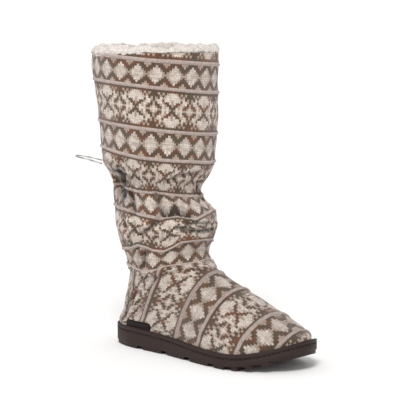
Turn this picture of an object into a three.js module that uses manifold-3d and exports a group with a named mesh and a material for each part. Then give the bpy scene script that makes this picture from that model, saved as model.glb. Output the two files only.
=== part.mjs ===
// A tall knitted slipper boot for the right foot, in millimetres.
// +X points to the toe, +Y to the inner side of the foot and +Z up, with the floor at z = 0.
// Everything is laid out from the back of the sole; the finished group is then moved so that its
// origin lies on the floor under the middle of the heel.
import * as THREE from "three";
import { mergeVertices } from "three/addons/utils/BufferGeometryUtils.js";
import Module from "manifold-3d";

const wasm = await Module();
wasm.setup();

// Sole
const soleLength = 270;
const ballWidth = 103;
const heelSideHeight = 24;
const ballSideHeight = 17.5;
const toeSideHeight = 13.5;
const toeSpring = 19;
const archLift = 0.6;
const treadHeight = 4;
const treadInset = 1.2;
const edgeRound = 1;
const rimBandHeight = 6.5;
const rimWall = 3.6;
const stitchGrooveHeight = 1.6;
const stitchGrooveDepth = 1.3;
const heelFloor = 12;
const ballFloor = 8;
const lugGrooveWidth = 4.5;
const lugGrooveSink = 0.4;
const rearLugStart = 58;
const rearLugPitch = 40;
const rearLugGrooves = 4;
const frontLugStart = 202;
const frontLugPitch = 16;
const frontLugGrooves = 4;

// Knitted upper
const bootHeight = 337;
const collarDepth = 150;
const collarWidth = 143;
const instepHeight = 97;
const knitWall = 3;
const instepRounding = 16;
const heelRounding = 1;

// Fleece and insole
const fleeceThickness = 9;
const fleeceStand = 10;
const fleeceDepth = 34;
const fleeceLump = 1;
const fleecePoints = 40;
const insoleThickness = 5;

// Bare patch on the outer side of the heel, just over the sole
const patchLength = 42;
const patchHeight = 11;
const patchThickness = 1.5;
const patchFromHeel = 52;

// Cord loop that comes out of the gathers behind the leg
const cordDiameter = 1.6;
const cordSides = 8;
const cordSteps = 22;

// Running gap between pieces that touch, and how far a cutting shape runs past what it cuts
const fitGap = 0.3;
const cutPast = 5;

// Points round each ring and along the slabs
const outlineCount = 56;
const outerCount = 48;
const innerCount = 28;
const slabSteps = 30;

// Colours
const knitColour = 0xb9a89a;
const fleeceColour = 0xece6dd;
const rubberColour = 0x3f3330;
const patchColour = 0x2a211e;
const cordColour = 0xd2cfcc;

// Route of the cord loop, from where it leaves the knit to where it goes back in.
const cordPoints = [
  [4.9, -42.9, 214.6],
  [2.1, -45.3, 215.4],
  [-1.8, -48.8, 216.7],
  [-6.8, -53, 218.2],
  [-11.6, -57, 219.3],
  [-15.4, -59.8, 219.9],
  [-18.8, -61.2, 219.9],
  [-21.4, -60.4, 219.1],
  [-21.9, -57.8, 218],
  [-19.8, -54.8, 217],
  [-15.8, -51.3, 215.8],
  [-11.2, -47.6, 214.3],
  [-6.6, -44.1, 212.6],
  [-2.4, -41, 211],
  [0.5, -39, 209.9],
];

// Outline of the sole, round from the back of the heel by the outer side to the toe and back by the
// inner side: share of the sole length, share of half the ball width, with minus the outer side.
const soleOutline = [
  { along: 0.0, across: 0.0 },
  { along: 0.03, across: -0.45 },
  { along: 0.12, across: -0.68 },
  { along: 0.36, across: -0.78 },
  { along: 0.6, across: -0.96 },
  { along: 0.74, across: -1.0 },
  { along: 0.87, across: -0.79 },
  { along: 0.965, across: -0.35 },
  { along: 1.0, across: 0.16 },
  { along: 0.965, across: 0.6 },
  { along: 0.87, across: 0.9 },
  { along: 0.74, across: 0.97 },
  { along: 0.6, across: 0.82 },
  { along: 0.4, across: 0.66 },
  { along: 0.12, across: 0.66 },
  { along: 0.03, across: 0.44 },
];

// Leg of the upper, from the collar down to the heel seat. Up is a share of the boot height, axis a
// share of the sole length, depth and width shares of the collar's, and square the corner power.
const legSections = [
  { name: "collar", up: 1.0, axis: 0.183, depth: 0.985, width: 0.985, square: 2.0 },
  { name: "calf", up: 0.9, axis: 0.183, depth: 0.96, width: 0.96, square: 2.0 },
  { name: "mid shaft", up: 0.79, axis: 0.198, depth: 0.935, width: 0.935, square: 2.0 },
  { name: "low shaft", up: 0.685, axis: 0.199, depth: 0.895, width: 0.895, square: 2.0 },
  { name: "skirt over the string", up: 0.625, axis: 0.201, depth: 0.86, width: 0.86, square: 2.0 },
  { name: "tuck under the skirt", up: 0.595, axis: 0.21, depth: 0.775, width: 0.77, square: 2.0 },
  { name: "above the string", up: 0.567, axis: 0.204, depth: 0.71, width: 0.71, square: 2.0 },
  { name: "string", up: 0.538, axis: 0.187, depth: 0.672, width: 0.672, square: 2.0 },
  { name: "below the string", up: 0.508, axis: 0.202, depth: 0.715, width: 0.705, square: 2.0 },
  { name: "first slouch, upper", up: 0.475, axis: 0.233, depth: 0.78, width: 0.765, square: 2.0 },
  { name: "first slouch", up: 0.435, axis: 0.24, depth: 0.795, width: 0.79, square: 2.0 },
  { name: "first slouch, lower", up: 0.39, axis: 0.245, depth: 0.77, width: 0.77, square: 2.0 },
  { name: "pinch", up: 0.35, axis: 0.235, depth: 0.7, width: 0.7, square: 2.0 },
  { name: "under the pinch", up: 0.315, axis: 0.246, depth: 0.673, width: 0.63, square: 2.0 },
  { name: "ankle roll", up: 0.283, axis: 0.266, depth: 0.725, width: 0.58, square: 2.1 },
  { name: "ankle", up: 0.245, axis: 0.263, depth: 0.686, width: 0.53, square: 2.2 },
  { name: "heel", up: 0.17, axis: 0.235, depth: 0.69, width: 0.49, square: 2.3 },
  { name: "heel seat", up: 0.09, axis: 0.207, depth: 0.63, width: 0.43, square: 2.3 },
  { name: "under the heel", up: 0.0, axis: 0.207, depth: 0.55, width: 0.36, square: 2.3 },
];

// Folds of the slouched leg. Up is a share of the boot height, around the angle from the front with
// minus the outer side, reach (out from the leg) a share of the collar depth, tall a share of the
// boot height, wide the half spread in degrees, and lean the rise in height per degree.
const legFolds = [
  { name: "hollow by the string", up: 0.553, around: -126, reach: -0.075, tall: 0.036, wide: 15, lean: 0 },
  { name: "lip over the string", up: 0.612, around: -158, reach: 0.04, tall: 0.022, wide: 16, lean: 0 },
  { name: "roll below the string", up: 0.53, around: -163, reach: 0.035, tall: 0.04, wide: 19, lean: 0 },
  { name: "pocket under the front", up: 0.487, around: -38, reach: -0.05, tall: 0.018, wide: 24, lean: 0 },
  { name: "front roll", up: 0.438, around: 8, reach: 0.03, tall: 0.026, wide: 40, lean: 0.0002 },
  { name: "outer side roll", up: 0.425, around: -95, reach: 0.022, tall: 0.025, wide: 28, lean: 0 },
  { name: "outer side trough", up: 0.375, around: -70, reach: -0.03, tall: 0.016, wide: 34, lean: 0.0006 },
  { name: "instep roll", up: 0.292, around: 0, reach: 0.025, tall: 0.018, wide: 38, lean: 0 },
  { name: "back trough", up: 0.335, around: 180, reach: -0.025, tall: 0.03, wide: 30, lean: 0 },
  { name: "inner side trough", up: 0.47, around: 85, reach: -0.035, tall: 0.02, wide: 35, lean: 0.0004 },
  { name: "inner side roll", up: 0.4, around: 110, reach: 0.025, tall: 0.025, wide: 35, lean: 0 },
];

// Foot of the upper, from inside the heel to the toe. Along is a share of the sole length, top a
// share of the instep height, crest the inward shift of the ridge line as a share of half the ball
// width, and rise and spread the corner powers of the arched section.
const footSections = [
  { name: "back of the heel", along: 0.0, top: 0.35, crest: 0.0, rise: 3.0, spread: 2.4 },
  { name: "inside the ankle", along: 0.2, top: 0.85, crest: 0.0, rise: 2.8, spread: 2.4 },
  { name: "front of the ankle", along: 0.4, top: 1.05, crest: 0.02, rise: 2.3, spread: 2.3 },
  { name: "instep", along: 0.5, top: 0.99, crest: 0.04, rise: 1.95, spread: 2.2 },
  { name: "waist", along: 0.58, top: 0.9, crest: 0.06, rise: 1.85, spread: 2.2 },
  { name: "back of the ball", along: 0.68, top: 0.77, crest: 0.08, rise: 1.8, spread: 2.2 },
  { name: "ball", along: 0.77, top: 0.66, crest: 0.1, rise: 1.8, spread: 2.2 },
  { name: "toes", along: 0.86, top: 0.54, crest: 0.12, rise: 1.85, spread: 2.3 },
  { name: "toe top", along: 0.93, top: 0.455, crest: 0.12, rise: 1.9, spread: 2.3 },
  { name: "toe edge", along: 0.97, top: 0.41, crest: 0.12, rise: 2.0, spread: 2.3 },
  { name: "toe tip", along: 1.0, top: 0.37, crest: 0.12, rise: 2.0, spread: 2.3 },
];

// Bands of level rings that make the upper, from and to as shares of the boot height: close together
// over the sole's edge and through the slouch, and wide apart up the shaft.
const ringBands = [
  { name: "under the floor", from: 0.003, to: 0.05, rings: 1 },
  { name: "sole edge", from: 0.05, to: 0.13, rings: 6 },
  { name: "foot", from: 0.13, to: 0.28, rings: 8 },
  { name: "slouch", from: 0.28, to: 0.645, rings: 20 },
  { name: "shaft", from: 0.645, to: 1, rings: 6 },
];

const lerp = THREE.MathUtils.lerp;
const clamp = THREE.MathUtils.clamp;
const radians = THREE.MathUtils.degToRad;

// Smooth value of one column of a table at a place on its key column.
function readTable(table, key, column, at) {
  const falling = table[0][key] > table[table.length - 1][key];
  const rows = falling ? [...table].reverse() : table;
  const place = clamp(at, rows[0][key], rows[rows.length - 1][key]);
  let i = 0;
  while (i < rows.length - 2 && place > rows[i + 1][key]) i++;
  const before = rows[Math.max(i - 1, 0)];
  const [low, high] = [rows[i], rows[i + 1]];
  const after = rows[Math.min(i + 2, rows.length - 1)];
  const span = high[key] - low[key];
  const share = (place - low[key]) / span;
  const slopeLow = ((high[column] - before[column]) / (high[key] - before[key])) * span;
  const slopeHigh = ((after[column] - low[column]) / (after[key] - low[key])) * span;
  const s2 = share * share;
  const s3 = s2 * share;
  return (
    (2 * s3 - 3 * s2 + 1) * low[column] +
    (s3 - 2 * s2 + share) * slopeLow +
    (3 * s2 - 2 * s3) * high[column] +
    (s3 - s2) * slopeHigh
  );
}

// Closed surface through rings of equal length, each end closed by a fan about its middle.
function loft(rings) {
  const count = rings[0].length;
  const positions = [];
  const indices = [];
  for (const ring of rings) for (const p of ring) positions.push(p.x, p.y, p.z);
  for (let r = 0; r < rings.length - 1; r++) {
    for (let i = 0; i < count; i++) {
      const a = r * count + i;
      const b = r * count + ((i + 1) % count);
      indices.push(a, b, b + count, a, b + count, a + count);
    }
  }
  const closeEnd = (ring, start, outward) => {
    const middle = ring.reduce((sum, p) => sum.add(p), new THREE.Vector3()).divideScalar(count);
    const centre = positions.length / 3;
    positions.push(middle.x, middle.y, middle.z);
    for (let i = 0; i < count; i++) {
      const pair = [start + i, start + ((i + 1) % count)];
      if (outward) pair.reverse();
      indices.push(centre, pair[1], pair[0]);
    }
  };
  closeEnd(rings[0], 0, false);
  closeEnd(rings[rings.length - 1], (rings.length - 1) * count, true);
  const geometry = new THREE.BufferGeometry();
  geometry.setAttribute("position", new THREE.Float32BufferAttribute(positions, 3));
  geometry.setIndex(indices);
  return geometry;
}

// three.js geometry as a manifold solid, turned the right way out, and back again.
function toSolid(geometry) {
  const bare = geometry.index ? geometry.toNonIndexed() : geometry.clone();
  for (const name of Object.keys(bare.attributes)) {
    if (name !== "position") bare.deleteAttribute(name);
  }
  const merged = mergeVertices(bare, 1e-4);
  const make = (triVerts) =>
    new wasm.Manifold(
      new wasm.Mesh({ numProp: 3, vertProperties: merged.attributes.position.array, triVerts }),
    );
  const triVerts = new Uint32Array(merged.index.array);
  const made = make(triVerts);
  if (made.volume() > 0) return made;
  return make(triVerts.reverse());
}

function toGeometry(solid) {
  const mesh = solid.getMesh();
  const geometry = new THREE.BufferGeometry();
  geometry.setAttribute("position", new THREE.BufferAttribute(mesh.vertProperties, 3));
  geometry.setIndex(new THREE.BufferAttribute(mesh.triVerts, 1));
  return geometry;
}

// Height of the sole's underside, of its side wall and of the floor inside it.
const springStart = 0.74 * soleLength;
const archFrom = 0.24 * soleLength;
const archTo = 0.64 * soleLength;

function soleBottom(x) {
  const toe = clamp((x - springStart) / (soleLength - springStart), 0, 1);
  const waist = clamp((x - archFrom) / (archTo - archFrom), 0, 1);
  return toeSpring * toe ** 1.7 + archLift * Math.sin(Math.PI * waist) ** 2;
}

const heelToBall = (x) => THREE.MathUtils.smoothstep(x, 0.12 * soleLength, 0.72 * soleLength);
const ballToToe = (x) => THREE.MathUtils.smoothstep(x, 0.76 * soleLength, soleLength);
const sideHeight = (x) =>
  lerp(heelSideHeight, lerp(ballSideHeight, toeSideHeight, ballToToe(x)), heelToBall(x));
const floorHeight = (x) => soleBottom(x) + lerp(heelFloor, ballFloor, heelToBall(x));
const rimTop = (x) => soleBottom(x) + sideHeight(x);

const outlineCurve = new THREE.CatmullRomCurve3(
  soleOutline.map((p) => new THREE.Vector3(p.along * soleLength, (p.across * ballWidth) / 2, 0)),
  true,
  "centripetal",
);

// The outline moved in by an inset, as points in the plane of the floor.
function solePlan(inset, count) {
  const points = outlineCurve.getSpacedPoints(count).slice(0, count);
  return points.map((p, i) => {
    const along = points[(i + 1) % count].clone().sub(points[(i + count - 1) % count]).normalize();
    return new THREE.Vector3(p.x - along.y * inset, p.y + along.x * inset, 0);
  });
}

// Half widths of the inset outline at even steps along it, on each side, with its two ends.
const planPoints = 360;
const widthStep = 0.5;
const widthTables = new Map();

function widthTable(inset) {
  const key = inset.toFixed(3);
  if (widthTables.has(key)) return widthTables.get(key);
  const length = Math.ceil((1.1 * soleLength) / widthStep);
  const rows = Array.from({ length }, () => ({ outer: 0, inner: 0 }));
  const plan = solePlan(inset, planPoints);
  plan.forEach((p, i) => {
    const q = plan[(i + 1) % planPoints];
    const [low, high] = p.x < q.x ? [p, q] : [q, p];
    for (let k = Math.ceil(Math.max(low.x, 0) / widthStep); k * widthStep <= high.x; k++) {
      const y = lerp(low.y, high.y, (k * widthStep - low.x) / (high.x - low.x || 1));
      rows[k].outer = Math.max(rows[k].outer, -y);
      rows[k].inner = Math.max(rows[k].inner, y);
    }
  });
  const start = Math.min(...plan.map((p) => p.x));
  const end = Math.max(...plan.map((p) => p.x));
  const table = { rows, start, end };
  widthTables.set(key, table);
  return table;
}

function halfWidth(x, side, inset) {
  const { rows, start, end } = widthTable(inset);
  if (x <= Math.max(start, 0) || x >= end) return 0;
  const i = Math.floor(x / widthStep);
  return lerp(rows[i][side], rows[i + 1][side], x / widthStep - i);
}

// Leg of the upper: distance from its axis to the knit, at a height and an angle from the front.
function foldReach(up, around) {
  let reach = 0;
  for (const fold of legFolds) {
    const turn = ((around - fold.around + 540) % 360) - 180;
    const level = (up - fold.up - fold.lean * turn) / fold.tall;
    reach += fold.reach * Math.exp(-(level * level) - (turn / fold.wide) ** 2);
  }
  return reach * collarDepth;
}

function legReach(z, around, offset) {
  const up = z / bootHeight;
  const read = (column) => readTable(legSections, "up", column, up);
  const depth = (read("depth") * collarDepth) / 2 + offset;
  const width = (read("width") * collarWidth) / 2 + offset;
  const power = read("square");
  const [c, s] = [Math.cos(radians(around)), Math.sin(radians(around))];
  const bulge = Math.abs(c / depth) ** power + Math.abs(s / width) ** power;
  return bulge ** (-1 / power) + foldReach(up, around);
}

// Foot of the upper: whether a point lies inside it. Its arch springs from just under the rim.
const footTuck = 2;

function insideFoot(x, y, z, offset) {
  const read = (column) => readTable(footSections, "along", column, x / soleLength);
  const base = rimTop(x) - footTuck;
  const top = Math.max(read("top") * instepHeight + offset, base + knitWall);
  const level = (z - base) / (top - base);
  if (level >= 1) return false;
  const sine = Math.max(level, 0) ** (read("rise") / 2);
  const cosine = Math.sqrt(1 - sine * sine) ** (2 / read("spread"));
  const side = y < 0 ? "outer" : "inner";
  const reach = halfWidth(x, side, rimWall + fitGap - offset) * cosine;
  const crest = ((read("crest") * ballWidth) / 2) * sine * sine;
  return Math.abs(y - crest) < reach;
}

function footReach(axis, z, around, offset) {
  const [c, s] = [Math.cos(radians(around)), Math.sin(radians(around))];
  let [low, high] = [0, soleLength];
  for (let i = 0; i < 16; i++) {
    const middle = (low + high) / 2;
    if (insideFoot(axis + middle * c, middle * s, z, offset)) low = middle;
    else high = middle;
  }
  return low;
}

// The larger of two distances, with the corner where they cross rounded off.
function roundedMax(a, b, rounding) {
  const near = Math.max(rounding - Math.abs(a - b), 0) / rounding;
  return Math.max(a, b) + (near * near * rounding) / 4;
}

// One level ring of the boot, leg and foot together. Low down the points crowd to the toe, and the
// corner between leg and foot grows rounder from the heel seat up to the instep.
const toeCrowd = 0.62;

function bootRing(z, offset, count) {
  const axis = readTable(legSections, "up", "axis", z / bootHeight) * soleLength;
  const up = z / instepHeight;
  const crowd = toeCrowd * (1 - THREE.MathUtils.smoothstep(up, 0.62, 1.24));
  const rounding = heelRounding + instepRounding * THREE.MathUtils.smoothstep(up, 0.26, 0.82);
  return Array.from({ length: count }, (_, i) => {
    const share = (2 * i) / count - 1;
    const around = 180 * ((1 - crowd) * share + crowd * share ** 3);
    const leg = legReach(z, around, offset);
    const foot = z < instepHeight * 1.1 ? footReach(axis, z, around, offset) : 0;
    const reach = roundedMax(leg, foot, rounding);
    const [c, s] = [Math.cos(radians(around)), Math.sin(radians(around))];
    return new THREE.Vector3(axis + reach * c, reach * s, z);
  });
}

function bootForm(offset, count, above = 0) {
  const rings = [];
  for (const band of ringBands) {
    for (let i = 0; i < band.rings; i++) {
      rings.push(bootRing(lerp(band.from, band.to, i / band.rings) * bootHeight, offset, count));
    }
  }
  rings.push(bootRing(bootHeight, offset, count));
  if (above > 0) rings.push(bootRing(bootHeight, offset, count).map((p) => p.setZ(p.z + above)));
  return toSolid(loft(rings));
}

// Everything under a height that varies along the sole.
function below(height) {
  const shape = new THREE.Shape();
  const margin = 0.15 * soleLength;
  const steps = slabSteps;
  shape.moveTo(-margin, -margin);
  shape.lineTo(soleLength + margin, -margin);
  for (let i = steps; i >= 0; i--) {
    const x = (soleLength * i) / steps;
    if (i === steps) shape.lineTo(soleLength + margin, height(x));
    shape.lineTo(x, height(x));
    if (i === 0) shape.lineTo(-margin, height(x));
  }
  const wide = 2 * ballWidth;
  const slab = new THREE.ExtrudeGeometry(shape, { depth: wide, bevelEnabled: false });
  slab.rotateX(Math.PI / 2);
  slab.translate(0, wide / 2, 0);
  return toSolid(slab);
}

// Outsole: tread set in a little, side wall with a stitched groove under its rim, and lugs. The
// wall runs past the tread and the rim at first, and both ends are then cut to their curves.
function soleRing(heightAt, inset) {
  return solePlan(inset, outlineCount).map((p) => p.setZ(heightAt(p.x)));
}

const grooveBevel = 0.3;

function soleBody() {
  const grooveTop = (x) => rimTop(x) - rimBandHeight;
  const grooveLow = (x) => grooveTop(x) - stitchGrooveHeight;
  const treadTop = (x) => soleBottom(x) + treadHeight;
  const body = loft([
    soleRing(() => -2 * edgeRound, treadInset + edgeRound / 2),
    soleRing(soleBottom, treadInset + edgeRound / 2),
    soleRing((x) => treadTop(x) - edgeRound, treadInset),
    soleRing(treadTop, edgeRound / 2),
    soleRing((x) => treadTop(x) + edgeRound, 0),
    soleRing(grooveLow, 0),
    soleRing((x) => grooveLow(x) + grooveBevel * stitchGrooveHeight, stitchGrooveDepth),
    soleRing((x) => grooveTop(x) - grooveBevel * stitchGrooveHeight, stitchGrooveDepth),
    soleRing(grooveTop, 0),
    soleRing((x) => rimTop(x) - edgeRound, 0.2 * edgeRound),
    soleRing(rimTop, edgeRound),
    soleRing(() => 2 * heelSideHeight, 1.5 * edgeRound),
  ]);
  return toSolid(body).subtract(below(soleBottom)).intersect(below(rimTop));
}

function lugGrooves() {
  const places = [];
  for (let i = 0; i < rearLugGrooves; i++) places.push(rearLugStart + rearLugPitch * i);
  for (let i = 0; i < frontLugGrooves; i++) places.push(frontLugStart + frontLugPitch * i);
  return places.map((x) => {
    const top = soleBottom(x) + treadHeight;
    const depth = 2 * top;
    const cut = new THREE.BoxGeometry(lugGrooveWidth, 1.5 * ballWidth, depth);
    cut.translate(x, 0, top - lugGrooveSink - depth / 2);
    return toSolid(cut);
  });
}

function makeOutsole() {
  const cavity = bootForm(fitGap, outerCount).subtract(below(floorHeight));
  let sole = soleBody().subtract(cavity);
  for (const cut of lugGrooves()) sole = sole.subtract(cut);
  return sole;
}

function makeUpper() {
  const outer = bootForm(0, outerCount);
  const inner = bootForm(-knitWall, innerCount, cutPast);
  return outer.subtract(inner).subtract(below((x) => floorHeight(x) + fitGap));
}

function makeInsole() {
  const hollow = bootForm(-knitWall - fitGap, innerCount);
  const top = below((x) => floorHeight(x) + fitGap + insoleThickness);
  return hollow.intersect(top).subtract(below((x) => floorHeight(x) + fitGap));
}

// Fleece lining where it shows: a soft ring that lines the collar and rolls up over its edge.
function makeFleeceCollar() {
  const inside = -knitWall;
  const stand = bootHeight + fleeceStand;
  const profile = [
    { out: inside, z: bootHeight - fleeceDepth },
    { out: inside, z: bootHeight },
    { out: 0.67 * inside, z: bootHeight },
    { out: 0.5 * inside, z: lerp(bootHeight, stand, 0.4) },
    { out: inside, z: lerp(bootHeight, stand, 0.8) },
    { out: inside - 0.35 * fleeceThickness, z: stand },
    { out: inside - 0.8 * fleeceThickness, z: stand - 0.15 * fleeceStand },
    { out: inside - fleeceThickness, z: lerp(bootHeight, stand, 0.3) },
    { out: inside - fleeceThickness, z: bootHeight - fleeceDepth },
  ];
  const rings = Array.from({ length: fleecePoints }, (_, i) => {
    const turn = radians((360 * i) / fleecePoints);
    const lump = fleeceLump * (Math.sin(5 * turn) + 0.8 * Math.sin(11 * turn + 0.7));
    return profile.map(({ out, z }) => {
      const p = bootRing(Math.min(z, bootHeight), out, fleecePoints)[i];
      return p.setZ(z > bootHeight ? z + lump : z);
    });
  });
  const wall = bootForm(cutPast, outerCount, fitGap);
  const keepOut = wall.subtract(bootForm(-knitWall - fitGap, innerCount, cutPast));
  return toSolid(closedBand(rings)).subtract(keepOut);
}

// A band of rings that closes on itself, the last ring joined to the first.
function closedBand(rings) {
  const count = rings[0].length;
  const turns = rings.length;
  const positions = [];
  const indices = [];
  for (const ring of rings) for (const p of ring) positions.push(p.x, p.y, p.z);
  for (let r = 0; r < turns; r++) {
    const next = (r + 1) % turns;
    for (let i = 0; i < count; i++) {
      const j = (i + 1) % count;
      indices.push(r * count + i, r * count + j, next * count + j);
      indices.push(r * count + i, next * count + j, next * count + i);
    }
  }
  const geometry = new THREE.BufferGeometry();
  geometry.setAttribute("position", new THREE.Float32BufferAttribute(positions, 3));
  geometry.setIndex(indices);
  return geometry;
}

// Oval patch that follows the side of the heel.
function makeHeelPatch() {
  const radius = patchHeight / 2;
  const half = patchLength / 2 - radius;
  const bottom = rimTop(patchFromHeel) + 3 * fitGap;
  const oval = new THREE.Shape();
  oval.absarc(half, 0, radius, -Math.PI / 2, Math.PI / 2, false);
  oval.absarc(-half, 0, radius, Math.PI / 2, (3 * Math.PI) / 2, false);
  const prism = new THREE.ExtrudeGeometry(oval, {
    depth: ballWidth,
    bevelEnabled: false,
    curveSegments: 8,
  });
  prism.rotateX(Math.PI / 2);
  prism.translate(patchFromHeel, 0, bottom + radius);
  const skin = bootForm(fitGap + patchThickness, outerCount).subtract(bootForm(fitGap, outerCount));
  return skin.intersect(toSolid(prism));
}

function makeCordLoop() {
  const route = new THREE.CatmullRomCurve3(cordPoints.map((p) => new THREE.Vector3(...p)));
  const section = new THREE.Shape();
  for (let i = 0; i < cordSides; i++) {
    const turn = (2 * Math.PI * i) / cordSides;
    const x = (cordDiameter / 2) * Math.cos(turn);
    const y = (cordDiameter / 2) * Math.sin(turn);
    if (i === 0) section.moveTo(x, y);
    else section.lineTo(x, y);
  }
  section.closePath();
  return toSolid(new THREE.ExtrudeGeometry(section, { steps: cordSteps, extrudePath: route }));
}

function mesh(name, solid, color, roughness) {
  const geometry = toGeometry(solid);
  geometry.computeVertexNormals();
  const made = new THREE.Mesh(geometry, new THREE.MeshStandardMaterial({ color, roughness, metalness: 0 }));
  made.name = name;
  return made;
}

const boot = new THREE.Group();
boot.add(
  mesh("outsole", makeOutsole(), rubberColour, 0.6),
  mesh("upper", makeUpper(), knitColour, 0.95),
  mesh("insole", makeInsole(), fleeceColour, 1),
  mesh("fleece_collar", makeFleeceCollar(), fleeceColour, 1),
  mesh("heel_patch", makeHeelPatch(), patchColour, 0.5),
  mesh("cord_loop", makeCordLoop(), cordColour, 0.8),
);

// The origin is on the floor under the middle of the heel.
const heelMiddle = 0.14 * soleLength;
boot.position.x = -heelMiddle;

export default boot;
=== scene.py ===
# A tall knitted slipper boot: fleece collar, slouched patterned knit, cord loop and a moulded sole.
# Lengths in the dictionaries are millimetres unless a name says otherwise; +X is the toe, -Y the outer
# side that the camera sees, +Z up, with the floor at z = 0.
import math

import bpy
import numpy as np
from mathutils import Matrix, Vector, noise
from mathutils.bvhtree import BVHTree


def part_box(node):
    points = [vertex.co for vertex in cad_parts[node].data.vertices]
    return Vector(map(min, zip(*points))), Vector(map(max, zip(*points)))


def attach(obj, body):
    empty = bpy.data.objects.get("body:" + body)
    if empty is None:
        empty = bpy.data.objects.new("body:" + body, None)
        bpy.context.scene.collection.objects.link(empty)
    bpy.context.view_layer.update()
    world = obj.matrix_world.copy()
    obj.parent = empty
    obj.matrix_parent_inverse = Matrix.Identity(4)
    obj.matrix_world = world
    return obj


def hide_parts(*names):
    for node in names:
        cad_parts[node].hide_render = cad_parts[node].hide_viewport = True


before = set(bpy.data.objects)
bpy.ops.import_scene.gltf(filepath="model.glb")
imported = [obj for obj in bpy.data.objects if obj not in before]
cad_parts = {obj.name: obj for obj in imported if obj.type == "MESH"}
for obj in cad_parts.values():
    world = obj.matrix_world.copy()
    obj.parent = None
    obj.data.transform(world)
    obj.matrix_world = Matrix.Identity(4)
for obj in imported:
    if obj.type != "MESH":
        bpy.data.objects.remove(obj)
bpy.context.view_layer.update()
mm = 0.001
waveRepeats = 20                      # a wave texture has this many bands in one unit of its scale
rng = np.random.default_rng(11)


# Tools for meshes and materials

def smoothStep(value, low, high):
    t = np.clip((np.asarray(value, float) - low) / (high - low), 0, 1)
    return t * t * (3 - 2 * t)


def linearColour(hexColour):
    channels = [int(hexColour[i:i + 2], 16) / 255 for i in (1, 3, 5)]
    return tuple(c / 12.92 if c <= 0.04045 else ((c + 0.055) / 1.055) ** 2.4 for c in channels) + (1,)


def addNode(tree, kind, settings=None, inputs=None, out=0):
    # settings may be one word, the operation or a mix's kind of data, and may hold "stops", the places and
    # colours of a colour ramp. inputs may be a tuple of the first ones, and hold sRGB hex colours.
    if isinstance(settings, str):
        settings = {"data_type" if kind == "Mix" else "operation": settings}
    if isinstance(inputs, tuple):
        inputs = dict(enumerate(inputs))
    node = tree.nodes.new("ShaderNode" + kind)
    for name, value in (settings or {}).items():
        if name == "stops":
            elements = node.color_ramp.elements
            elements.remove(elements[1])
            for number, (position, colour) in enumerate(value):
                element = elements.new(position) if number else elements[0]
                element.position, element.color = position, linearColour(colour)
        else:
            setattr(node, name, value)
    for key, value in (inputs or {}).items():
        if isinstance(value, bpy.types.NodeSocket):
            tree.links.new(value, node.inputs[key])
        else:
            node.inputs[key].default_value = linearColour(value) if isinstance(value, str) else value
    return node.outputs[out]


def newMaterial(name, values):
    material = bpy.data.materials.new(name)
    material.use_nodes = True
    tree = material.node_tree
    tree.nodes.clear()
    shader = addNode(tree, "BsdfPrincipled", None, values)
    tree.links.new(shader, tree.nodes.new("ShaderNodeOutputMaterial").inputs["Surface"])
    place = addNode(tree, "TexCoord", None, None, 3)
    return material, tree, shader.node, place


def joinInputs(node, links):
    for name, socket in links.items():
        node.id_data.links.new(socket, node.inputs[name])


def addObject(name, data):
    made = bpy.data.objects.new(name, data)
    bpy.context.scene.collection.objects.link(made)
    return made


def addMesh(name, points, faces, material, corners=None, values=None):
    mesh = bpy.data.meshes.new(name)
    mesh.from_pydata([tuple(p) for p in np.asarray(points) * mm], [], [tuple(map(int, f)) for f in faces])
    for layerName, cornerUvs in (corners or {}).items():
        layer = mesh.uv_layers.new(name=layerName)
        layer.data.foreach_set("uv", np.asarray(cornerUvs, np.float32).ravel())
    for layerName, pointValues in (values or {}).items():
        attribute = mesh.attributes.new(layerName, "FLOAT", "POINT")
        attribute.data.foreach_set("value", np.asarray(pointValues, np.float32).ravel())
    mesh.polygons.foreach_set("use_smooth", [True] * len(mesh.polygons))
    mesh.materials.append(material)
    mesh.update()
    made = addObject(name, mesh)
    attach(made, "root")
    return made


def gridFaces(rows, columns):
    # Four-sided faces between closed rings, counted ring by ring.
    r, c = np.meshgrid(np.arange(rows - 1), np.arange(columns), indexing="ij")
    n = (c + 1) % columns
    quads = np.stack([r * columns + c, r * columns + n, (r + 1) * columns + n, (r + 1) * columns + c], -1)
    return quads.reshape(-1, 4)


def gaussian(values, sigma, axis, wrap):
    reach = int(3 * sigma) + 1
    offsets = np.arange(-reach, reach + 1)
    kernel = np.exp(-0.5 * (offsets / sigma) ** 2)
    kernel /= kernel.sum()
    pad = [(0, 0)] * values.ndim
    pad[axis] = (reach, reach)
    padded = np.pad(values, pad, mode="wrap" if wrap else "edge")
    length = values.shape[axis]
    return sum(k * np.take(padded, np.arange(i, i + length), axis=axis) for i, k in enumerate(kernel))


def bell(value, middle, half):
    # One at the middle, fading smoothly to both sides.
    return np.exp(-((value - middle) / half) ** 2)


def lengthsAlong(path):
    return np.concatenate([[0], np.cumsum(np.linalg.norm(np.diff(path, axis=0), axis=1))])


def turnFrom(angle, middle):
    return (angle - middle + 180) % 360 - 180


def ringNormals(points):
    along = np.roll(points, -1, 1) - np.roll(points, 1, 1)
    upward = np.gradient(points, axis=0)
    normal = np.cross(along, upward)
    return normal / (np.linalg.norm(normal, axis=2, keepdims=True) + 1e-9)


# Camera, at the photograph's angle
cameraView = {"azimuthDeg": 42.1, "elevationDeg": 6.7, "distance": 1700, "lensMm": 136.2,
              "sensorMm": 36, "target": (79.5, 0, 173.6)}


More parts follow.
